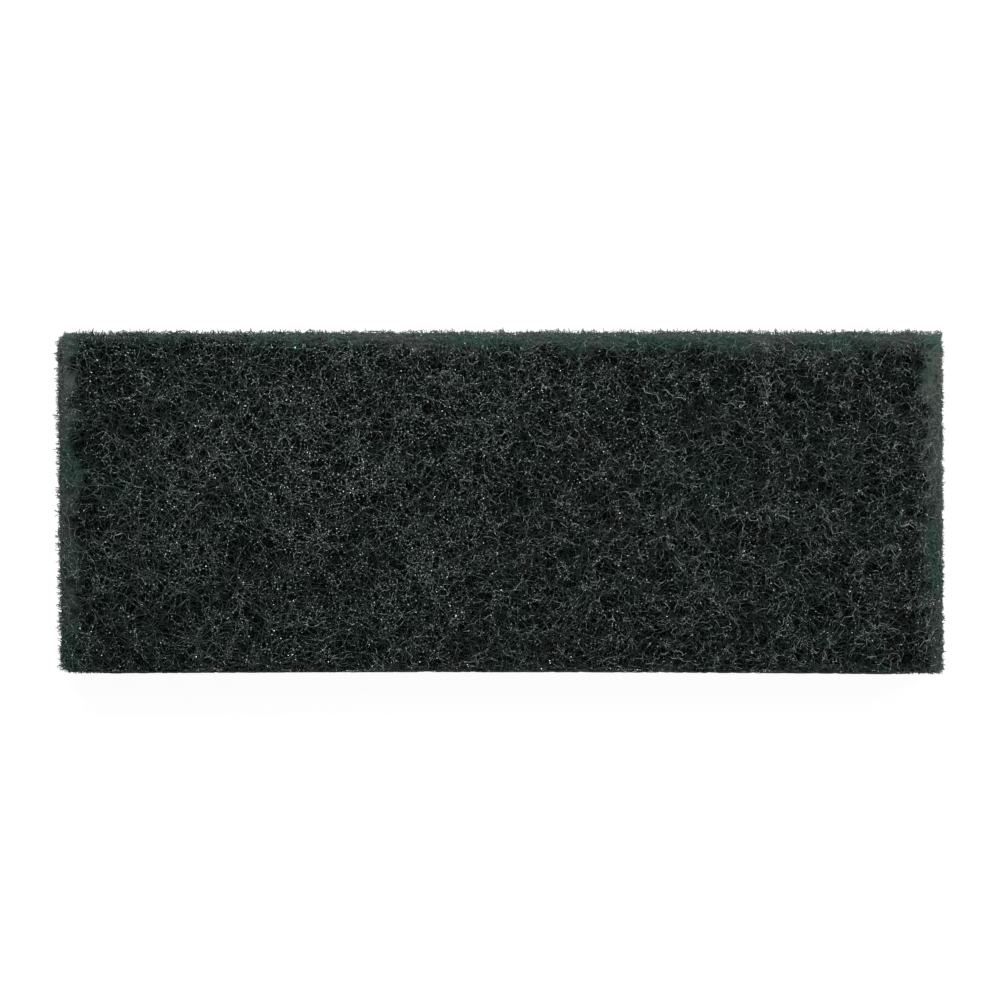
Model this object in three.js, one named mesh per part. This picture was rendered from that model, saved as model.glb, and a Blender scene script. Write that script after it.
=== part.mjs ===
// Abrasive hand pad: one block of lofty non-woven web, made of crimped fibres bonded with
// grit-filled resin and knife-cut to a rectangle. It lies flat. Units are millimetres, +Z is up,
// +X runs along the length, and the origin is the middle of the face that the pad lies on.
import * as THREE from "three";
import { mergeVertices } from "three/addons/utils/BufferGeometryUtils.js";

// The cut block
const padLength = 250;
const padWidth = 96;
const padThickness = 20;
const upperRim = 3.2; // radius of the soft edge round the upper face
const lowerRim = 2.2; // radius of the edge round the face that is pressed on the bench
const cornerFill = 0.3; // how much of its radius each corner at the +X end is fuller by
const wallDraft = 0.6; // how far each cut wall leans in from its foot to its top

// The web that its surface is made of
const strandGap = 9; // distance between neighbouring strands of one lay
const strandLays = 2; // lays of strands that cross each other
const wavesInLay = 14; // waves that together bend the strands of one lay
const wavelengthSpread = 0.5; // share by which the waves of a lay differ in length
const poreDepth = 2.1; // how far the open pores go in below the strands of the two faces
const wallPoreDepth = 1.1; // the same on the walls, where a knife has cut the strands level
const rimPoreDepth = 0.4; // the same on the rims, where the web is pressed together
const latticePitch = 3.3; // distance between the points that carry the relief
const webSeed = 5;

// Resin-coated nylon web, dark green to black
const webColour = 0x222826;

const tolerance = 1e-3; // distance within which a point counts as lying on a face of the block

const size = new THREE.Vector3(padLength, padWidth, padThickness);
const half = size.clone().multiplyScalar(0.5);

// A repeatable stream of numbers from 0 to 1.
function numbersFrom(seed) {
  let state = seed;
  return () => {
    state = (Math.imul(state, 1664525) + 1013904223) >>> 0;
    return state / 2 ** 32;
  };
}

// One lay of strands: a field of crossing waves that is zero along the middle of each strand.
// A strand lies wherever the sum changes sign, so the strands are about half a wave apart. The
// waves run in evenly spread directions, so the strands wander with no grain.
function makeLay(random) {
  const goldenAngle = Math.PI * (3 - Math.sqrt(5));
  const turn = random() * goldenAngle;
  return Array.from({ length: wavesInLay }, (_, i) => {
    const fromPole = Math.acos(1 - (2 * i + 1) / wavesInLay);
    const spread = 1 + wavelengthSpread * (random() - 0.5);
    const direction = new THREE.Vector3().setFromSphericalCoords(
      (Math.PI / strandGap) * spread,
      fromPole,
      turn + i * goldenAngle,
    );
    return { direction, phase: random() * 2 * Math.PI };
  });
}

// The move from a point of the block's surface to the middle of a lay's nearest strand, within
// the faces that the point lies on.
function moveToStrand(waves, point, free) {
  const slope = new THREE.Vector3();
  let value = 0;
  for (const { direction, phase } of waves) {
    const angle = direction.dot(point) + phase;
    value += Math.cos(angle);
    slope.addScaledVector(direction, -Math.sin(angle));
  }
  slope.multiply(free);
  return slope.multiplyScalar(-value / Math.max(slope.lengthSq(), tolerance ** 2));
}

// How deep a pore is at a point, from the axes along which the point is free to move.
function poreDepthAt(free) {
  const onRim = free.x + free.y + free.z < 2;
  if (onRim) return rimPoreDepth;
  return free.z ? wallPoreDepth : poreDepth;
}

// A point of the sharp block moved on to its soft rims, with the way out of the web there.
function softenEdge(point) {
  const height = point.z / padThickness + 0.5;
  const rim = THREE.MathUtils.lerp(lowerRim, upperRim, height);
  const reach = half.clone().subScalar(rim);
  const inner = point.clone().clamp(reach.clone().negate(), reach);
  const outward = point.clone().sub(inner).normalize();
  const place = inner.addScaledVector(outward, rim);
  const intoCorner = Math.max(Math.min(outward.x, Math.abs(outward.y)), 0);
  place.x += cornerFill * rim * intoCorner;
  place.y += cornerFill * rim * intoCorner * Math.sign(outward.y);
  place.x *= 1 - (height * wallDraft) / half.x;
  place.y *= 1 - (height * wallDraft) / half.y;
  place.z += half.z;
  return { place, outward };
}

// Turns the diagonal of each square of the lattice to join its two shallower corners, so that
// a strand that crosses it keeps one unbroken crest.
function joinCrests(triangles, depths) {
  const perSquare = 2 * 3; // the corners of its two triangles, one after the other
  for (let i = 0; i < triangles.length; i += perSquare) {
    const [a, b, d, , c] = triangles.subarray(i, i + perSquare);
    if (depths[a] + depths[c] < depths[b] + depths[d]) triangles.set([a, b, c, a, c, d], i);
  }
}

// The web's surface: a block whose lattice points slide on to the nearest strand where one is
// close, and sink into a pore between the strands where none is.
function makeWeb() {
  const random = numbersFrom(webSeed);
  const lays = Array.from({ length: strandLays }, () => makeLay(random));
  const steps = size.clone().divideScalar(latticePitch).round();
  const block = new THREE.BoxGeometry(...size, ...steps);
  block.deleteAttribute("normal");
  block.deleteAttribute("uv");
  const web = mergeVertices(block);

  const points = web.getAttribute("position");
  const point = new THREE.Vector3();
  const longestMove = 0.38 * latticePitch; // further, and neighbouring facets could fold over
  const openFrom = 1.1 * latticePitch; // at this distance from a strand a pore has its full depth
  const depths = [];
  for (let i = 0; i < points.count; i++) {
    point.fromBufferAttribute(points, i);
    const free = new THREE.Vector3(
      Math.abs(point.x) < half.x - tolerance ? 1 : 0,
      Math.abs(point.y) < half.y - tolerance ? 1 : 0,
      Math.abs(point.z) < half.z - tolerance ? 1 : 0,
    );
    const moves = lays.map((waves) => moveToStrand(waves, point, free));
    moves.sort((one, other) => one.length() - other.length());
    const distance = moves[0].length();
    point.add(moves[0].clampLength(0, longestMove));

    const openness = THREE.MathUtils.smoothstep(distance, longestMove, openFrom);
    depths[i] = poreDepthAt(free) * openness;
    const { place, outward } = softenEdge(point);
    place.addScaledVector(outward, -depths[i]);
    points.setXYZ(i, place.x, place.y, place.z);
  }
  joinCrests(web.index.array, depths);
  web.computeVertexNormals();
  return web;
}

const webMaterial = new THREE.MeshStandardMaterial({
  color: webColour,
  roughness: 0.85,
  metalness: 0,
  flatShading: true,
});

const pad = new THREE.Group();
const web = new THREE.Mesh(makeWeb(), webMaterial);
web.name = "abrasive_web";
pad.add(web);

export default pad;
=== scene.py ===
import math

import bmesh
import bpy
import numpy as np
from mathutils import Euler, Matrix, Vector, noise
from mathutils.bvhtree import BVHTree


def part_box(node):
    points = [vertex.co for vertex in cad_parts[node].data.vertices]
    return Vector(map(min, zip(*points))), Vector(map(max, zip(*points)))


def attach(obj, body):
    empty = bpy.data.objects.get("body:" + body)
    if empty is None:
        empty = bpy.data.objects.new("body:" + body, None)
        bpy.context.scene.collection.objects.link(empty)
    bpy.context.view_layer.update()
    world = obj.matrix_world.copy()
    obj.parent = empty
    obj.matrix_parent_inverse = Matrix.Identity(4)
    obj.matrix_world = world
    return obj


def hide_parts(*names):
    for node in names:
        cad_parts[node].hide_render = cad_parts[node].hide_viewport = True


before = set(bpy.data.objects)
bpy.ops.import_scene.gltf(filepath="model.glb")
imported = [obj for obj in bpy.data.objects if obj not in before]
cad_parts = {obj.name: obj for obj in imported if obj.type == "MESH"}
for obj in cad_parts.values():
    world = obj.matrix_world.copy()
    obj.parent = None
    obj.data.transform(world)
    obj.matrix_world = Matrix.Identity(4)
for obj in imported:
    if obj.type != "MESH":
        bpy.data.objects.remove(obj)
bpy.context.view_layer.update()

MM = 0.001
SEED = 29
random = np.random.default_rng(SEED)

# The block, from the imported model
pad_low, pad_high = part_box("abrasive_web")
HALF_LENGTH = (pad_high.x - pad_low.x) / 2
HALF_WIDTH = (pad_high.y - pad_low.y) / 2
THICKNESS = pad_high.z

# The fibres
FIBRE_RADIUS = 0.088 * MM
FIBRE_STEP = 1.2 * MM  # length of each straight stretch of a fibre
FEWEST_POINTS = 3  # a shorter run of points makes no fibre
LOWEST_FIBRE = 1.3 * FIBRE_RADIUS  # height above the floor that the middle of a fibre keeps
WEB_DEPTH = 2.0 * MM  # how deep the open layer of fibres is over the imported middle
RIM_DEPTH = 0.4 * MM  # the same where the web is cut and pressed at its rims
RIM_WIDTH = 3.4 * MM  # how far the cut rim reaches in from the outline
FRONT_BOW = 0.6 * MM  # how much further the -Y edge stands out at its two ends
DARK_FRONT = 3.2 * MM  # how much narrower the pale rim, which is painted rim light, is along the -Y edge, turned from the lamps
RIM_RADIUS = 2.8 * MM
SHARPER_CORNER = 0.42  # share by which the rounding of the corners at +X is filled out
WALL_DRAFT = 0.6 * MM  # how far each wall leans in from its foot to its top
DEEPEST_PORE = 3 * MM  # how far below the skin the relief is looked for
GRIT_DEPTH = 1.3 * MM  # how far down in the web its grit is seen
GRIT_SIZES = (0.09 * MM, 0.23 * MM)
GRIT_BATCH = 100  # grains made in one go, because a large mesh takes longer for each grain
CORNER = 8 * MM  # radius of the turn by which the fibres of a wall run on round a corner
WALL_LENGTH = 4 * (HALF_LENGTH + HALF_WIDTH - 2 * CORNER) + 2 * math.pi * CORNER
END_STEPS = 2  # straight stretches that make up the end of a cut fibre
END_ROOT = 0.9 * MM  # how far the root of an end goes into the web
WISP_ENDS = 12  # fibre ends in the stray wisp on the +Y wall
LUMPS = 0.95 * MM  # how far the cut web stands in and out of a wall
LUMP_SIZE = 1.4 * MM  # how wide each lump is
BACK_SWELL = 0.17  # share of LUMPS by which the whole +Y wall stands out
BEYOND = 10 * MM  # how far past the outline fibres start, so that the rims are as full as the rest
REACH = HALF_LENGTH + BEYOND  # how far from the middle they start along X
FACE_FOLLOW = 0.5  # how much of the block's relief the fibres of the open faces follow
WALL_FOLLOW = 0.25  # the same on the cut walls

# How many there are of each
THIRD_FIBRES = 2750  # on a third of the upper face, where a long arc counts as two
RUBBED_AND_LIT_FIBRES = 2000  # before they are thinned out towards -X
LOWER_FIBRES = 1300
WALL_FIBRES = 2500
PRESSED_FIBRES = 300
CUT_ENDS = 9500
UPPER_GRIT = 20500
WALL_GRIT = 4500

# How much of the pale cut rims shows, where it is less than all: their paleness is painted rim
# light, least where they are turned from the lamps
RIM_LIGHT_FRONT = 0.5  # along the -Y edge
RIM_LIGHT_LEFT = 0.84  # at the -X end
RIM_LIGHT_BESIDE = 0.87  # everywhere but at the corner of +X and +Y

# The rays that find the surface
FACE_RAY_START = 5 * MM  # outside the face
WALL_RAY_START = 30 * MM  # outside the inner frame
RAY_REACH = 60 * MM
FLATTEST_HIT = 0.3  # a ray that meets the skin at a lower slope finds nothing
FACING = 0.7  # a wall whose normal is longer than this along an axis faces that way

# The camera, far above the pad with a long lens, and turned a little towards +X and +Y
FRAME_PIXELS = 1000
PIXELS_PER_METRE = 3544
CAMERA_DISTANCE = 3.0
CAMERA_TURN_X = math.radians(3.2)
CAMERA_TURN_Y = math.radians(6.0)
SENSOR_WIDTH = 36  # millimetres, as Blender states it
AIM = Vector((0.0, 0.7 * MM, THICKNESS / 2))


def add_piece(name, mesh, material):
    """A finished mesh as a piece of the pad."""
    mesh.materials.clear()
    mesh.materials.append(material)
    piece = bpy.data.objects.new(name, mesh)
    bpy.context.scene.collection.objects.link(piece)
    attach(piece, "root")
    return piece


# Materials


def start_material(name):
    """A new material with its Principled shader."""
    material = bpy.data.materials.new(name)
    material.use_nodes = True
    return material, material.node_tree, material.node_tree.nodes["Principled BSDF"]


def link(tree, node, **inputs):
    """Sets a node's inputs by name, each from a value or from another node's socket."""
    for name, value in inputs.items():
        socket = node.inputs[name.replace("_", " ")]
        if isinstance(value, bpy.types.NodeSocket):
            tree.links.new(value, socket)
        else:
            socket.default_value = value
    return node


def object_place(tree):
    return tree.nodes.new("ShaderNodeTexCoord").outputs["Object"]


def cloud(tree, size, detail=2.0, layers=1.0):
    """Noise whose patches are about size metres wide, and layers times as thin as they are wide."""
    mapping = tree.nodes.new("ShaderNodeMapping")
    link(tree, mapping, Vector=object_place(tree), Scale=(1, 1, layers))
    node = tree.nodes.new("ShaderNodeTexNoise")
    link(tree, node, Vector=mapping.outputs["Vector"], Scale=1 / size, Detail=detail)
    return node.outputs["Fac"]


def ramp(tree, value, low, high, start=0.0, end=1.0):
    """A smooth rise from start to end as value goes from low to high."""
    node = tree.nodes.new("ShaderNodeMapRange")
    node.interpolation_type = "SMOOTHSTEP"
    link(tree, node, Value=value, From_Min=low, From_Max=high, To_Min=start, To_Max=end)
    return node.outputs["Result"]


def blend_colours(tree, share, first, second):
    """first where share is 0, second where it is 1."""
    node = tree.nodes.new("ShaderNodeMix")
    node.data_type = "RGBA"
    for socket, value in ((0, share), (6, first), (7, second)):
        if isinstance(value, bpy.types.NodeSocket):
            tree.links.new(value, node.inputs[socket])
        elif socket:
            node.inputs[socket].default_value = (*value, 1)
        else:
            node.inputs[socket].default_value = value
    return node.outputs[2]


def calculate(tree, operation, first, second=0.0):
    """The result of a Math node."""
    node = tree.nodes.new("ShaderNodeMath")
    node.operation = operation
    for socket, value in enumerate((first, second)):
        if isinstance(value, bpy.types.NodeSocket):
            tree.links.new(value, node.inputs[socket])
        else:
            node.inputs[socket].default_value = value
    return node.outputs[0]


def split_place(tree, axis):
    """A point's place along one axis, in metres."""
    split = tree.nodes.new("ShaderNodeSeparateXYZ")
    return link(tree, split, Vector=object_place(tree)).outputs[axis]


def beyond(tree, axis, limit):
    """How far a point is beyond a limit to either side of the middle of the pad, along one axis."""
    value = split_place(tree, axis)
    if axis == "Z":
        value = calculate(tree, "SUBTRACT", value, THICKNESS / 2)
    # Along Y the middle moves towards -Y, so that the painted rim light is narrower at the -Y edge.
    if axis == "Y":
        value = calculate(tree, "ADD", value, DARK_FRONT / 2)
        limit += DARK_FRONT / 2
    return calculate(tree, "SUBTRACT", calculate(tree, "ABSOLUTE", value), limit)


def patch_share(tree):
    """0 in the black patches of the web, and 1 in the green ones."""
    return ramp(tree, cloud(tree, 13 * MM, detail=3), 0.45, 0.58)


def rim_light_share(tree):
    """The share of the painted rim light on the pale rims that shows: most at the +Y edge, the +X
    end and their corner, which face the lamps.
    """
    x = split_place(tree, "X")
    y = split_place(tree, "Y")
    back = ramp(tree, y, -HALF_WIDTH, HALF_WIDTH, RIM_LIGHT_FRONT, 1.0)
    right = ramp(tree, x, -HALF_LENGTH, -HALF_LENGTH + 3 * RIM_WIDTH, RIM_LIGHT_LEFT, 1.0)
    to_corner = calculate(tree, "ADD", x, y)
    corner_starts = HALF_LENGTH + 15 * MM
    corner_full = HALF_LENGTH + HALF_WIDTH - 5 * MM
    corner = ramp(tree, to_corner, corner_starts, corner_full, RIM_LIGHT_BESIDE, 1.0)
    return calculate(tree, "MULTIPLY", calculate(tree, "MULTIPLY", back, right), corner)


def add_cut_rims(tree, colour, sides, ends, share):
    """A colour with the paler knife-cut rims added as painted rim light, palest and widest at the
    two ends.
    sides and ends are each the colour in black patches and the one in green patches."""
    ragged_by = 0.6 * RIM_WIDTH
    ragged = ramp(tree, cloud(tree, 5 * MM, detail=3), 0.3, 0.7, -ragged_by, ragged_by)
    narrower = ramp(tree, split_place(tree, "X"), -110 * MM, -10 * MM, -1.4 * RIM_WIDTH, 0)
    past_side = calculate(tree, "ADD", beyond(tree, "Y", HALF_WIDTH), ragged)
    past_side = calculate(tree, "ADD", past_side, narrower)
    past_end = calculate(tree, "ADD", beyond(tree, "X", HALF_LENGTH), ragged)
    for past, starts, full, cut in ((past_side, 1.8, 0.4, sides), (past_end, 2.1, 0.9, ends)):
        rim = ramp(tree, past, -starts * RIM_WIDTH, -full * RIM_WIDTH)
        rim = calculate(tree, "MULTIPLY", rim, share)
        colour = blend_colours(tree, rim, colour, blend_colours(tree, patch_share(tree), *cut))
    return colour


def depth_shade_share(tree):
    """0 on the fibres deep in the web, and 1 on the outermost ones; it paints shade on the deep
    fibres.
    """
    outermost = beyond(tree, "Z", THICKNESS / 2)
    for axis, limit in (("X", HALF_LENGTH), ("Y", HALF_WIDTH)):
        outermost = calculate(tree, "MAXIMUM", outermost, beyond(tree, axis, limit))
    return ramp(tree, outermost, -1.4 * WEB_DEPTH, 0)


def add_bump(tree, shader, height, distance):
    """Small bumps in a finish, up to distance metres high."""
    node = tree.nodes.new("ShaderNodeBump")
    link(tree, node, Height=height, Strength=0.8, Distance=distance)
    tree.links.new(node.outputs["Normal"], shader.inputs["Normal"])


def make_resin(name, black, green, pale, sides, ends):
    """Resin on the fibres: black and dark green in patches, and speckled pale, partly where it is
    rubbed bare and partly as painted highlight. The pale speckles are fewer and duller on deep
    fibres, as painted shade, and towards +X."""
    material, tree, shader = start_material(name)
    coat = blend_colours(tree, patch_share(tree), black, green)
    x = split_place(tree, "X")
    dullest = ramp(tree, x, -90 * MM, 40 * MM, 0.24, 0.08)
    tangle = ramp(tree, cloud(tree, 2.2 * MM, layers=5), 0.5, 0.64, dullest, 1.0)
    broad = ramp(tree, cloud(tree, 38 * MM, detail=1), 0.36, 0.62, 0.75, 1.15)
    along = ramp(tree, x, -60 * MM, 60 * MM, 1.05, 0.92)
    speckle = ramp(tree, cloud(tree, 0.33 * MM, detail=1), 0.42, 0.64)
    # Pale speckles: partly a rubbed coat and partly painted highlight on the fibres.
    pale_and_highlight = tangle
    # Painted shade: the depth share takes the pale speckles off the deep fibres.
    for share in (broad, along, speckle, depth_shade_share(tree)):
        pale_and_highlight = calculate(tree, "MULTIPLY", pale_and_highlight, share)
    coat = blend_colours(tree, pale_and_highlight, coat, pale)
    speckled = ramp(tree, speckle, 0, 1, 0.7, 1.0)
    # How much painted rim light shows on the cut rims, speckled.
    rims = calculate(tree, "MULTIPLY", rim_light_share(tree), speckled)
    coat = add_cut_rims(tree, coat, sides, ends, rims)
    tree.links.new(coat, shader.inputs["Base Color"])
    shader.inputs["Roughness"].default_value = 0.4
    shader.inputs["Specular IOR Level"].default_value = 0.18
    add_bump(tree, shader, cloud(tree, 0.3 * MM), 0.1 * MM)
    return material


def make_rubbed_and_lit_resin():
    """Resin pale and grey on the outermost fibres: partly rubbed, and partly painted light, a lit
    copy of the resin on the top of the web.
    """
    material, tree, shader = start_material("rubbed_and_lit_resin")
    # Pale patches: partly a rubbed coat and partly painted light on the top of the web.
    rubbed_and_lit = ramp(tree, cloud(tree, 1.5 * MM, detail=3), 0.38, 0.66)
    shade = blend_colours(tree, rubbed_and_lit, (0.026, 0.034, 0.031), (0.45, 0.51, 0.48))
    tree.links.new(shade, shader.inputs["Base Color"])
    shader.inputs["Roughness"].default_value = 0.4
    shader.inputs["Specular IOR Level"].default_value = 0.25
    add_bump(tree, shader, cloud(tree, 0.3 * MM), 0.1 * MM)
    return material


def make_hollow():
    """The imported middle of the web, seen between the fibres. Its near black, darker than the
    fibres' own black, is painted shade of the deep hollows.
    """
    material, tree, shader = start_material("packed_web")
    # Painted shade: the hollows between the fibres, near black.
    deep = blend_colours(tree, patch_share(tree), (0.001, 0.0013, 0.0012), (0.0008, 0.003, 0.0023))
    speckle = ramp(tree, cloud(tree, 0.45 * MM, detail=2), 0.45, 0.68)
    deep = blend_colours(tree, speckle, deep, (0.025, 0.034, 0.03))
    # Painted rim light: the paler colours of the cut rims of the middle.
    sides = (0.053, 0.065, 0.06), (0.03, 0.061, 0.048)
    ends = (0.078, 0.097, 0.086), (0.045, 0.091, 0.072)
    deep = add_cut_rims(tree, deep, sides, ends, rim_light_share(tree))
    tree.links.new(deep, shader.inputs["Base Color"])
    shader.inputs["Roughness"].default_value = 0.9
    shader.inputs["Specular IOR Level"].default_value = 0.0
    add_bump(tree, shader, cloud(tree, 0.5 * MM), 0.3 * MM)
    return material


def make_mineral():
    """Crushed mineral grit: dark, with flat glassy faces, and pale in patches, partly the grit's
    own grey and partly painted glint.
    """
    material, tree, shader = start_material("mineral_grit")
    # Pale patches: partly the grit's own grey and partly painted glint.
    grey_and_glint = ramp(tree, cloud(tree, 0.6 * MM), 0.35, 0.7)
    shade = blend_colours(tree, grey_and_glint, (0.048, 0.06, 0.057), (0.48, 0.58, 0.55))
    tree.links.new(shade, shader.inputs["Base Color"])
    shader.inputs["Roughness"].default_value = 0.18
    shader.inputs["IOR"].default_value = 2.1
    return material


# The web


def sink_at(place):
    """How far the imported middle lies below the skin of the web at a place."""
    from_edge = min(HALF_LENGTH - abs(place.x), HALF_WIDTH - abs(place.y))
    share = min(max(from_edge / RIM_WIDTH - 0.3, 0), 1)
    return RIM_DEPTH + (WEB_DEPTH - RIM_DEPTH) * share


def make_core(material):
    """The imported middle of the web, sunk below the block's relief. Returns that relief."""
    bm = bmesh.new()
    bm.from_mesh(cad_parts["abrasive_web"].data)
    bmesh.ops.remove_doubles(bm, verts=bm.verts, dist=0.001 * MM)
    bmesh.ops.subdivide_edges(bm, edges=bm.edges, cuts=1, use_grid_fill=True)
    bmesh.ops.smooth_vert(
        bm, verts=bm.verts, factor=0.5, use_axis_x=True, use_axis_y=True, use_axis_z=True,
    )
    bm.normal_update()
    relief = BVHTree.FromBMesh(bm)
    for vertex in bm.verts:
        vertex.co = bowed(vertex.co - vertex.normal * sink_at(vertex.co))
    mesh = bpy.data.meshes.new("web_core")
    bm.to_mesh(mesh)
    bm.free()
    mesh.shade_smooth()
    core = add_piece("web_core", mesh, material)
    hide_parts("abrasive_web")
    return relief


def make_skin():
    """The even skin that the outermost fibres reach: the block with its soft rims and no pores."""
    bm = bmesh.new()
    bmesh.ops.create_cube(bm, size=1)
    bmesh.ops.scale(bm, verts=bm.verts, vec=(2 * HALF_LENGTH, 2 * HALF_WIDTH, THICKNESS))
    bmesh.ops.translate(bm, verts=bm.verts, vec=(0, 0, THICKNESS / 2))
    bmesh.ops.bevel(
        bm, geom=bm.edges, affect="EDGES", offset=RIM_RADIUS, segments=6, profile=0.5, material=-1,
    )
    for vertex in bm.verts:
        past_x = abs(vertex.co.x) - HALF_LENGTH
        past_y = abs(vertex.co.y) - HALF_WIDTH
        into_corner = min(past_x, past_y) + RIM_RADIUS
        if vertex.co.x > 0 and into_corner > 0:
            reach_y = min(abs(vertex.co.y) + SHARPER_CORNER * into_corner, HALF_WIDTH)
            vertex.co.x = min(vertex.co.x + SHARPER_CORNER * into_corner, HALF_LENGTH)
            vertex.co.y = math.copysign(reach_y, vertex.co.y)
        lean = WALL_DRAFT * vertex.co.z / THICKNESS
        vertex.co.x *= 1 - lean / HALF_LENGTH
        vertex.co.y *= 1 - lean / HALF_WIDTH
    skin = BVHTree.FromBMesh(bm)
    bm.free()
    return skin


def crimped_paths(starts, headings, lengths, crimp, swing, drift):
    """Paths on a flat face. Each one swings from side to side every crimp metres, and turns by
    about drift radians a metre."""
    count = len(starts)
    steps = int(math.ceil(lengths.max() / FIBRE_STEP))
    along = np.arange(steps) * FIBRE_STEP
    heading = headings[:, None] + random.normal(0, drift, (count, 1)) * along
    for share in (1.0, 0.45):
        wave = random.uniform(*crimp, (count, 1)) * share
        phase = random.uniform(0, 2 * math.pi, (count, 1))
        heading = heading + share * swing * np.sin(2 * math.pi * along / wave + phase)
    moves = np.stack([np.cos(heading), np.sin(heading)], axis=2) * FIBRE_STEP
    paths = np.concatenate([starts[:, None], starts[:, None] + np.cumsum(moves, axis=1)], axis=1)
    counts = np.maximum((lengths / FIBRE_STEP).astype(int) + 1, FEWEST_POINTS)
    return [path[:points] for path, points in zip(paths, counts)]


def bowed(place):
    """A place moved as the -Y edge bows: it stands out a little more towards both ends."""
    share = (place.x / HALF_LENGTH) ** 2 * (0.5 - 0.5 * place.y / HALF_WIDTH)
    return Vector((place.x, place.y - FRONT_BOW * share, place.z))


def lumpy(place, normal):
    """A place on a wall moved in or out, because the cut web stands in small lumps."""
    if abs(normal.z) > 0.5 or normal.y < -FACING:
        return place
    swell = BACK_SWELL if normal.y > FACING else 0
    return place + normal * LUMPS * (noise.noise(place / LUMP_SIZE) + swell)


def lay_point(web, origin, direction, follow):
    """A ray's place and normal on the web, which dips follow times as deep as its relief."""
    skin, relief = web
    place, normal, _, to_skin = skin.ray_cast(origin, direction, RAY_REACH)
    if place is None or normal.dot(direction) > -FLATTEST_HIT:
        return None, None
    dip = relief.ray_cast(origin, direction, to_skin + DEEPEST_PORE)[3]
    if dip is not None:
        place = place + direction * max(dip - to_skin, 0) * follow
    return bowed(lumpy(place, normal)), normal


def lay_fibres(web, rays, paths, shallow, deep, follow, grains=None):
    """Lays flat paths on the web, each waving up and down at its own depth, and ends them at its
    edges. Places where grit can sit are added to grains."""
    runs = []
    lift = 0.25 * MM  # how far each fibre waves up and down
    for path in paths:
        depth = shallow + (deep - shallow) * random.random() ** 1.3
        wave = random.uniform(4, 9) * MM
        phase = random.uniform(0, 2 * math.pi)
        run = []
        for i, (origin, direction) in enumerate(zip(*rays(path))):
            place, normal = lay_point(web, origin, direction, follow)
            if place is None:
                if len(run) >= FEWEST_POINTS:
                    runs.append(run)
                run = []
                continue
            angle = 2 * math.pi * i * FIBRE_STEP / wave + phase
            sunk = max(depth + lift * math.sin(angle), FIBRE_RADIUS)
            top = place - normal * (sunk - FIBRE_RADIUS)
            place = place - normal * sunk
            place.z = max(place.z, LOWEST_FIBRE)
            run.append(place)
            if grains is not None and sunk < GRIT_DEPTH:
                grains.append(top)
        if len(run) >= FEWEST_POINTS:
            runs.append(run)
    return runs


def rays_down(path):
    """Rays on to the upper face."""
    origins = [Vector((x, y, THICKNESS + FACE_RAY_START)) for x, y in path]
    return origins, [Vector((0, 0, -1))] * len(path)


def rays_up(path):
    """Rays on to the lower face."""
    origins = [Vector((x, y, -FACE_RAY_START)) for x, y in path]
    return origins, [Vector((0, 0, 1))] * len(path)


def round_the_walls(u):
    """The point of the inner frame and the way out of the wall, u metres round the pad."""
    inner_x = HALF_LENGTH - CORNER
    inner_y = HALF_WIDTH - CORNER
    turn = CORNER * math.pi / 2
    sides = (2 * inner_y, 2 * inner_x) * 2
    u = u % (sum(sides) + 4 * turn)
    corners = ((inner_x, -inner_y), (inner_x, inner_y), (-inner_x, inner_y), (-inner_x, -inner_y))
    for i, side in enumerate(sides):
        start = Vector((*corners[i], 0))
        end = Vector((*corners[(i + 1) % 4], 0))
        if u < side:
            angle = i * math.pi / 2
            return start.lerp(end, u / side), Vector((math.cos(angle), math.sin(angle), 0))
        u -= side
        if u < turn:
            angle = i * math.pi / 2 + u / CORNER
            return end, Vector((math.cos(angle), math.sin(angle), 0))
        u -= turn


def rays_in(path):
    """Rays on to the cut walls, from metres round the pad and metres up."""
    origins = []
    directions = []
    for u, height in path:
        base, outward = round_the_walls(u)
        origins.append(base + outward * WALL_RAY_START + Vector((0, 0, height)))
        directions.append(-outward)
    return origins, directions


def make_section():
    """The three-sided section that every fibre has."""
    curve = bpy.data.curves.new("fibre_section", "CURVE")
    curve.dimensions = "2D"
    spline = curve.splines.new("POLY")
    spline.points.add(2)
    for i, point in enumerate(spline.points):
        angle = i * 2 * math.pi / 3
        point.co = (FIBRE_RADIUS * math.cos(angle), FIBRE_RADIUS * math.sin(angle), 0, 1)
    spline.use_cyclic_u = True
    return bpy.data.objects.new("fibre_section", curve)


def make_fibres(name, runs, section, material, widths=(0.75, 1.3)):
    """Fibres as closed tubes along their runs, between widths times as thick as the section."""
    curve = bpy.data.curves.new(name, "CURVE")
    curve.dimensions = "3D"
    curve.bevel_mode = "OBJECT"
    curve.bevel_object = section
    curve.use_fill_caps = True
    for run in runs:
        spline = curve.splines.new("POLY")
        spline.points.add(len(run) - 1)
        places = np.ones((len(run), 4))
        places[:, :3] = run
        spline.points.foreach_set("co", places.ravel())
        spline.points.foreach_set("radius", np.full(len(run), random.uniform(*widths)))
    holder = bpy.data.objects.new(name + "_curve", curve)
    bpy.context.scene.collection.objects.link(holder)
    drawn = holder.evaluated_get(bpy.context.evaluated_depsgraph_get())
    bm = bmesh.new()
    bm.from_mesh(drawn.to_mesh())
    drawn.to_mesh_clear()
    bpy.data.objects.remove(holder)
    bpy.data.curves.remove(curve)
    bmesh.ops.remove_doubles(bm, verts=bm.verts, dist=0.001 * MM)
    bmesh.ops.recalc_face_normals(bm, faces=bm.faces)
    mesh = bpy.data.meshes.new(name)
    bm.to_mesh(mesh)
    bm.free()
    mesh.shade_smooth()
    return add_piece(name, mesh, material)


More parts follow.
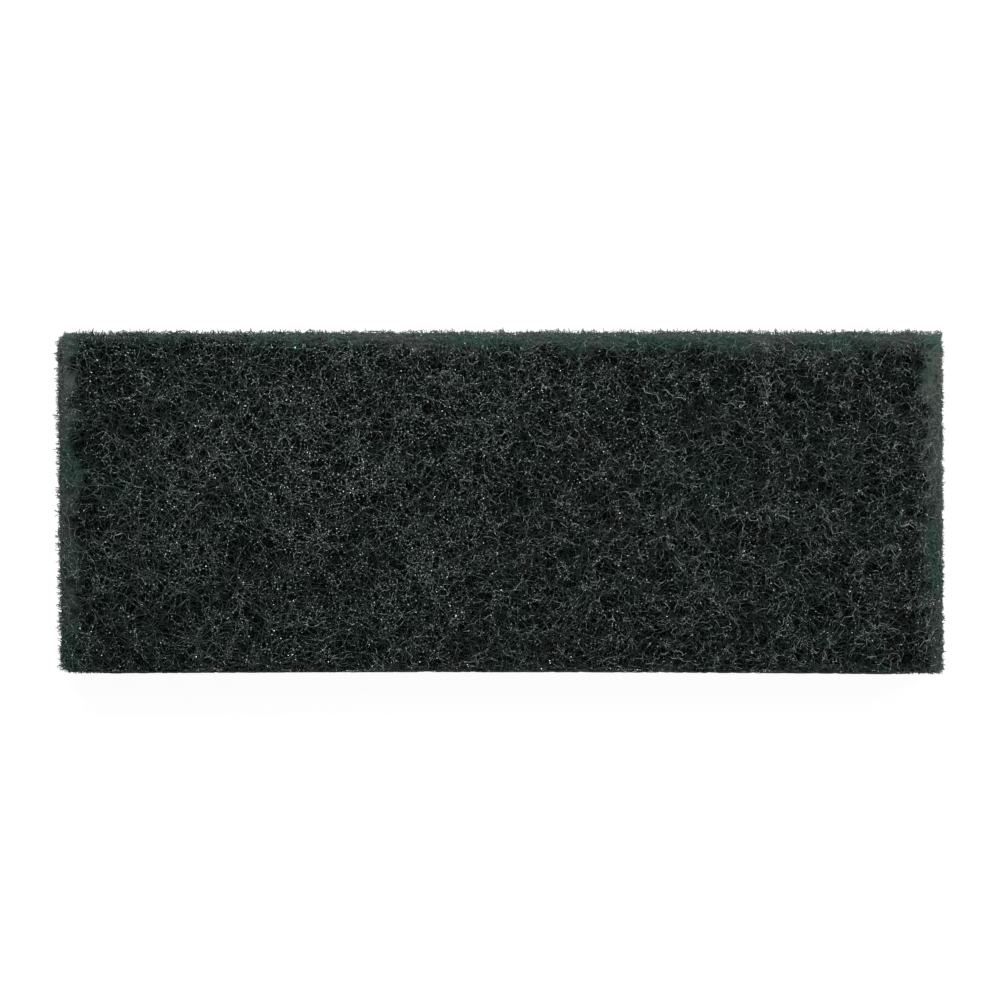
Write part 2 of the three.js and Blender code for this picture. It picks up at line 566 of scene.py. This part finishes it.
def face_paths(count, left, right, lengths, crimp, swing, drift):
    """Crimped paths that start anywhere on a face between left and right."""
    starts = np.column_stack([
        random.uniform(left, right, count),
        random.uniform(-HALF_WIDTH - BEYOND, HALF_WIDTH + BEYOND, count),
    ])
    headings = random.uniform(0, 2 * math.pi, count)
    return crimped_paths(starts, headings, random.uniform(*lengths, count), crimp, swing, drift)


def places_on_walls(count):
    """Places anywhere on the walls, in metres round the pad and metres up."""
    return np.column_stack([
        random.uniform(0, WALL_LENGTH, count),
        random.uniform(0, THICKNESS, count),
    ])


def wall_paths(count, lengths, crimp, swing, drift):
    """Crimped paths round the walls, mostly level, as the web was laid."""
    starts = places_on_walls(count)
    headings = random.normal(0, 1.2, count)
    return crimped_paths(starts, headings, random.uniform(*lengths, count), crimp, swing, drift)


def pressed_paths(count):
    """Level paths high on the -Y wall, where the web is pressed to a crisp edge."""
    front = 1.5 * math.pi * CORNER + 2 * (HALF_LENGTH - CORNER) + 4 * (HALF_WIDTH - CORNER)
    starts = np.column_stack([
        front + random.uniform(-2 * MM, 2 * HALF_LENGTH - 28 * MM, count),
        random.uniform(12 * MM, 18.5 * MM, count),
    ])
    headings = random.normal(0, 0.03, count)
    lengths = random.uniform(8 * MM, 16 * MM, count)
    return crimped_paths(starts, headings, lengths, crimp=(6 * MM, 9 * MM), swing=0.1, drift=2)


def stands_out(normal, along, height):
    """How far the ends of the cut fibres stand out of a wall. They stand in tufts, the longest at
    -X, and hardly stand out along the pressed -Y edge."""
    tuft = 0.55 + 0.8 * noise.noise(Vector((along / (1.3 * MM), height / (12 * MM), 0)))
    tuft = min(max(tuft, 0.3), 1.0)
    if normal.x < -FACING:
        return 1.3 * MM * tuft
    if normal.y > FACING:
        return 0.7 * MM * tuft
    if normal.y < -FACING:
        return 0.1 * MM
    return 0.65 * MM * tuft


def curled_end(place, normal, length):
    """A fibre end that comes out of the web and curls round, with its root inside the web."""
    heading = (normal + Vector(random.normal(0, 0.4, 3))).normalized()
    curl = Matrix.Rotation(random.normal(0, 1.2), 3, Vector(random.normal(0, 1, 3)).normalized())
    run = [place - normal * END_ROOT, place]
    for _ in range(END_STEPS):
        run.append(run[-1] + heading * length / END_STEPS)
        heading = curl @ heading
    for point in run:
        point.z = max(point.z, LOWEST_FIBRE)
    return run


def cut_ends(web, count):
    """Short curled ends of cut fibres that stand out of the walls, and a stray wisp at +Y."""
    starts = places_on_walls(count)
    below = 0.3 * MM  # how far under the surface each end starts
    runs = []
    for start, origin, direction in zip(starts, *rays_in(starts)):
        place, normal = lay_point(web, origin, direction, WALL_FOLLOW)
        if place is not None:
            length = stands_out(normal, *start) * random.uniform(0.6, 1.2)
            runs.append(curled_end(place - normal * below, normal, below + length))
    wisp = Vector((0.2 * MM, HALF_WIDTH - below, 0.25 * THICKNESS))
    for _ in range(WISP_ENDS):
        place = wisp + Vector((random.normal(0, 0.9 * MM), 0, random.normal(0, 0.8 * MM)))
        runs.append(curled_end(place, Vector((0, 1, 0)), random.uniform(0.9, 1.6) * MM))
    return runs


def grit_weight(place):
    """How thick the grit lies: in clusters, thickest a little to the -X side, thin on the rims."""
    small = max(noise.noise(place / (5 * MM)), 0)
    large = max(noise.noise(place / (22 * MM)), 0)
    cluster = 0.22 + 2.2 * small + 0.8 * large
    across = ((place.x + 36 * MM) / (54 * MM)) ** 2 + ((place.y - 22 * MM) / (50 * MM)) ** 2
    broad = 0.35 + 1.5 * math.exp(-across)
    back_rim = RIM_WIDTH * min(max((place.x + 90 * MM) / (70 * MM), 0), 1)
    inside_rims = min(
        HALF_WIDTH - place.y - back_rim,
        HALF_WIDTH + place.y - RIM_WIDTH,
        HALF_LENGTH - place.x - RIM_WIDTH,
    )
    rim_share = 0.2 if inside_rims < 0 else 1
    return rim_share * cluster * broad


def some_of(places, count, weight):
    """A number of the places, each as likely as its weight."""
    weights = np.array([weight(place) for place in places])
    chosen = random.choice(len(places), count, replace=False, p=weights / weights.sum())
    return [places[i] for i in chosen]


def make_grit(name, places, material):
    """Grains of crushed grit that sit on the fibres."""
    bm = bmesh.new()
    batch_mesh = bpy.data.meshes.new(name + "_batch")
    for first in range(0, len(places), GRIT_BATCH):
        batch = bmesh.new()
        for place in places[first:first + GRIT_BATCH]:
            size = random.uniform(*GRIT_SIZES)
            turn = Euler(random.uniform(0, 2 * math.pi, 3)).to_matrix().to_4x4()
            bmesh.ops.create_cone(
                batch, cap_ends=True, segments=3, radius1=size, radius2=0.0, depth=1.4 * size,
                matrix=Matrix.Translation(place) @ turn,
            )
        batch.to_mesh(batch_mesh)
        batch.free()
        bm.from_mesh(batch_mesh)
    bpy.data.meshes.remove(batch_mesh)
    mesh = bpy.data.meshes.new(name)
    bm.to_mesh(mesh)
    bm.free()
    return add_piece(name, mesh, material)


# The studio


def aim_at(thing, target):
    """Turns a light or the camera, which look down their own -Z, to a place, with +X level."""
    back = (thing.location - target).normalized()
    up = back.cross(Vector((1, 0, 0))).normalized()
    right = up.cross(back)
    thing.rotation_euler = Matrix((right, up, back)).transposed().to_euler()


def add_camera():
    camera = bpy.data.cameras.new("camera")
    camera.sensor_width = SENSOR_WIDTH
    camera.lens = SENSOR_WIDTH * CAMERA_DISTANCE * PIXELS_PER_METRE / FRAME_PIXELS
    camera.clip_end = 100
    holder = bpy.data.objects.new("camera", camera)
    bpy.context.scene.collection.objects.link(holder)
    way = Vector((math.tan(CAMERA_TURN_X), math.tan(CAMERA_TURN_Y), 1)).normalized()
    holder.location = AIM + way * CAMERA_DISTANCE
    aim_at(holder, AIM)
    bpy.context.scene.camera = holder


def add_softbox(name, place, width, height, power):
    light = bpy.data.lights.new(name, "AREA")
    light.shape = "RECTANGLE"
    light.size = width
    light.size_y = height
    light.energy = power
    holder = bpy.data.objects.new(name, light)
    bpy.context.scene.collection.objects.link(holder)
    holder.location = place
    holder.visible_camera = False
    aim_at(holder, AIM)


def seen_directly(tree):
    """1 for what the camera sees, straight or in a reflection, and 0 for light on the pad."""
    path = tree.nodes.new("ShaderNodeLightPath")
    seen = calculate(tree, "MAXIMUM", path.outputs["Is Camera Ray"], path.outputs["Is Glossy Ray"])
    return calculate(tree, "MAXIMUM", seen, path.outputs["Is Transmission Ray"])


def add_world(ambient):
    """White all round for the camera, and a dimmer even light on the pad."""
    world = bpy.data.worlds.new("studio")
    world.use_nodes = True
    tree = world.node_tree
    strength = ramp(tree, seen_directly(tree), 0, 1, ambient, 1.0)
    link(tree, tree.nodes["Background"], Color=(1, 1, 1, 1), Strength=strength)
    bpy.context.scene.world = world


def add_floor():
    """A pale floor that shows as white and keeps a soft shadow."""
    bm = bmesh.new()
    bmesh.ops.create_grid(bm, x_segments=1, y_segments=1, size=3)
    bmesh.ops.translate(bm, verts=bm.verts, vec=(0, 0, -0.1 * MM))
    mesh = bpy.data.meshes.new("floor")
    bm.to_mesh(mesh)
    bm.free()
    material = bpy.data.materials.new("pale_floor")
    material.use_nodes = True
    tree = material.node_tree
    tree.nodes.remove(tree.nodes["Principled BSDF"])
    plain = link(tree, tree.nodes.new("ShaderNodeBsdfDiffuse"), Color=(0.8, 0.8, 0.8, 1))
    shaded = link(tree, tree.nodes.new("ShaderNodeBsdfDiffuse"), Color=(0.12, 0.12, 0.12, 1))
    glow = link(tree, tree.nodes.new("ShaderNodeEmission"), Color=(1, 1, 1, 1), Strength=0.935)
    both = tree.nodes.new("ShaderNodeAddShader")
    tree.links.new(shaded.outputs[0], both.inputs[0])
    tree.links.new(glow.outputs[0], both.inputs[1])
    choice = tree.nodes.new("ShaderNodeMixShader")
    tree.links.new(seen_directly(tree), choice.inputs[0])
    tree.links.new(plain.outputs[0], choice.inputs[1])
    tree.links.new(both.outputs[0], choice.inputs[2])
    tree.links.new(choice.outputs[0], tree.nodes["Material Output"].inputs["Surface"])
    mesh.materials.append(material)
    floor = bpy.data.objects.new("floor", mesh)
    bpy.context.scene.collection.objects.link(floor)


add_camera()
add_world(ambient=0.25)
add_softbox("back_softbox", (-0.15, 0.46, 0.45), 0.45, 0.3, 3.6)
add_softbox("front_fill", (0.25, -0.7, 0.3), 0.5, 0.3, 2.0)
add_softbox("side_softbox", (0.6, 0.3, 0.5), 0.3, 0.3, 3.0)
add_floor()
bpy.context.scene.view_settings.view_transform = "Standard"

resin = make_resin(
    "resin_coat",
    black=(0.0042, 0.0056, 0.0051),
    green=(0.0014, 0.0095, 0.0066),
    # pale: partly a rubbed coat and partly painted highlight
    pale=(0.225, 0.307, 0.279),
    # sides and ends: painted rim light on the cut rims
    sides=((0.087, 0.102, 0.095), (0.051, 0.098, 0.079)),
    ends=((0.124, 0.156, 0.141), (0.072, 0.146, 0.115)),
)
web = (make_skin(), make_core(make_hollow()))
section = make_section()

grains = []
wall_grains = []
for i, (side, arcs) in enumerate((("left", 300), ("middle", 400), ("right", 500))):
    left = -REACH + i * 2 * REACH / 3
    right = left + 2 * REACH / 3
    curly = face_paths(
        THIRD_FIBRES - 2 * arcs, left, right,
        lengths=(8 * MM, 18 * MM), crimp=(3 * MM, 9 * MM), swing=0.8, drift=60,
    )
    long = face_paths(
        arcs, left, right,
        lengths=(20 * MM, 40 * MM), crimp=(12 * MM, 26 * MM), swing=0.5, drift=40,
    )
    runs = lay_fibres(web, rays_down, curly, 0.1 * MM, WEB_DEPTH, FACE_FOLLOW, grains)
    runs += lay_fibres(web, rays_down, long, 0.0, 0.9 * MM, FACE_FOLLOW, grains)
    make_fibres(f"upper_fibres_{side}", runs, section, resin)

# Thin outermost fibres in a pale copy of the resin: partly a rubbed coat, partly painted light on
# the top of the web.
rubbed_and_lit = face_paths(
    RUBBED_AND_LIT_FIBRES, -HALF_LENGTH, HALF_LENGTH,
    lengths=(4 * MM, 13 * MM), crimp=(2.6 * MM, 6 * MM), swing=0.9, drift=70,
)
rubbed_and_lit = [path for path in rubbed_and_lit if random.random() < 0.5 + 0.4 * path[0][0] / HALF_LENGTH]
rubbed_and_lit_runs = lay_fibres(web, rays_down, rubbed_and_lit, 0.0, 0.5 * MM, FACE_FOLLOW)
make_fibres("rubbed_and_lit_fibres", rubbed_and_lit_runs, section, make_rubbed_and_lit_resin(), widths=(0.48, 0.75))

under = face_paths(
    LOWER_FIBRES, -REACH, REACH,
    lengths=(10 * MM, 20 * MM), crimp=(4 * MM, 10 * MM), swing=0.8, drift=50,
)
under_runs = lay_fibres(web, rays_up, under, 0.16 * MM, 1.2 * MM, FACE_FOLLOW, wall_grains)
make_fibres("lower_fibres", under_runs, section, resin)

level = wall_paths(
    WALL_FIBRES, lengths=(7 * MM, 16 * MM), crimp=(4 * MM, 9 * MM), swing=0.7, drift=30,
)
wall_runs = lay_fibres(web, rays_in, level, 0.15 * MM, 0.9 * MM, WALL_FOLLOW, wall_grains)
wall_runs += lay_fibres(web, rays_in, pressed_paths(PRESSED_FIBRES), 0.1 * MM, 0.3 * MM, 0)
make_fibres("wall_fibres", wall_runs, section, resin)
make_fibres("cut_ends", cut_ends(web, CUT_ENDS), section, resin, widths=(0.85, 1.4))
mineral = make_mineral()
make_grit("upper_grit", some_of(grains, UPPER_GRIT, grit_weight), mineral)
make_grit("wall_grit", some_of(wall_grains, WALL_GRIT, lambda place: 1), mineral)
